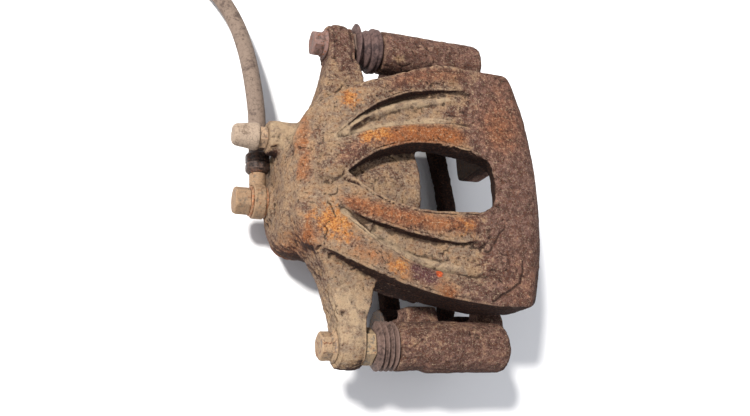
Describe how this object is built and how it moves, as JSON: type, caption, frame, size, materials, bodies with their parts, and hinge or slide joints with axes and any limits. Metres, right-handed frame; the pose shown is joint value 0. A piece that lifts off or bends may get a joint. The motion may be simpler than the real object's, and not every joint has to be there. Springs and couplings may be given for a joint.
{
  "type": "brake caliper",
  "caption": "Floating single-piston disc brake caliper on its carrier bracket, with guide pins, boots, bleed screw and a flexible hose, rusty cast iron.",
  "frame": {"origin": "midway between the two knuckle bolt holes, on the carrier's mounting face", "axes": "+X outboard along the wheel axis, +Z radially outward from the wheel axis, +Y along the disc's edge"},
  "size_m": [0.3171, 0.28, 0.092],
  "materials": {
    "carrier_iron": "rusted cast, mauve brown",
    "housing_iron": "rusted cast, orange and grey dust",
    "pin_steel": "greased, dull",
    "boot_rubber": "dusty, matt",
    "bolt_steel": "rusted",
    "bush_rubber": "matt",
    "piston_steel": "ground, brake dust",
    "seal_rubber": "matt",
    "fitting_steel": "dull plating under brown dust",
    "copper": "crushed copper",
    "cap_rubber": "perished, dusty",
    "ferrule_steel": "dark, dusty",
    "hose_rubber": "dusty, matt"
  },
  "bodies": {
    "carrier": {"carrier_bracket": "carrier_iron", "guide_pin_boot_upper": "boot_rubber", "guide_pin_boot_lower": "boot_rubber"},
    "housing": {"caliper_housing": "housing_iron", "guide_pin_upper": "pin_steel", "guide_pin_lower": "pin_steel", "guide_bolt_upper": "bolt_steel", "guide_bolt_lower": "bolt_steel", "guide_pin_bush": "bush_rubber", "piston_seal": "seal_rubber", "piston_dust_boot": "boot_rubber", "dust_boot_ring": "pin_steel", "banjo_fitting": "fitting_steel", "banjo_bolt": "fitting_steel", "banjo_washer_inner": "copper", "banjo_washer_outer": "copper", "hose_ferrule": "ferrule_steel", "brake_hose": "hose_rubber", "hose_end_ferrule": "ferrule_steel", "hose_end_fitting": "fitting_steel"},
    "piston": {"piston": "piston_steel"},
    "bleed_screw": {"bleed_screw": "fitting_steel"},
    "bleed_cap": {"bleed_screw_cap": "cap_rubber"}
  },
  "joints": [
    {"name": "housing_slide", "type": "slide", "parent": "carrier", "child": "housing", "axis": [1, 0, 0], "range_m": [-0.012, 0.002], "deforming": ["guide_pin_boot_upper", "guide_pin_boot_lower"]},
    {"name": "piston_slide", "type": "slide", "parent": "housing", "child": "piston", "axis": [1, 0, 0], "range_m": [0, 0.022], "deforming": ["piston_dust_boot"]},
    {"name": "bleed_screw_turn", "type": "hinge", "parent": "housing", "child": "bleed_screw", "pos_m": [-0.076, 0.028, 0.0415], "axis": [-1, 0, 0], "range_deg": [0, 270]},
    {"name": "bleed_cap_pull", "type": "slide", "parent": "bleed_screw", "child": "bleed_cap", "axis": [-1, 0, 0], "range_m": [0, 0.018]}
  ]
}
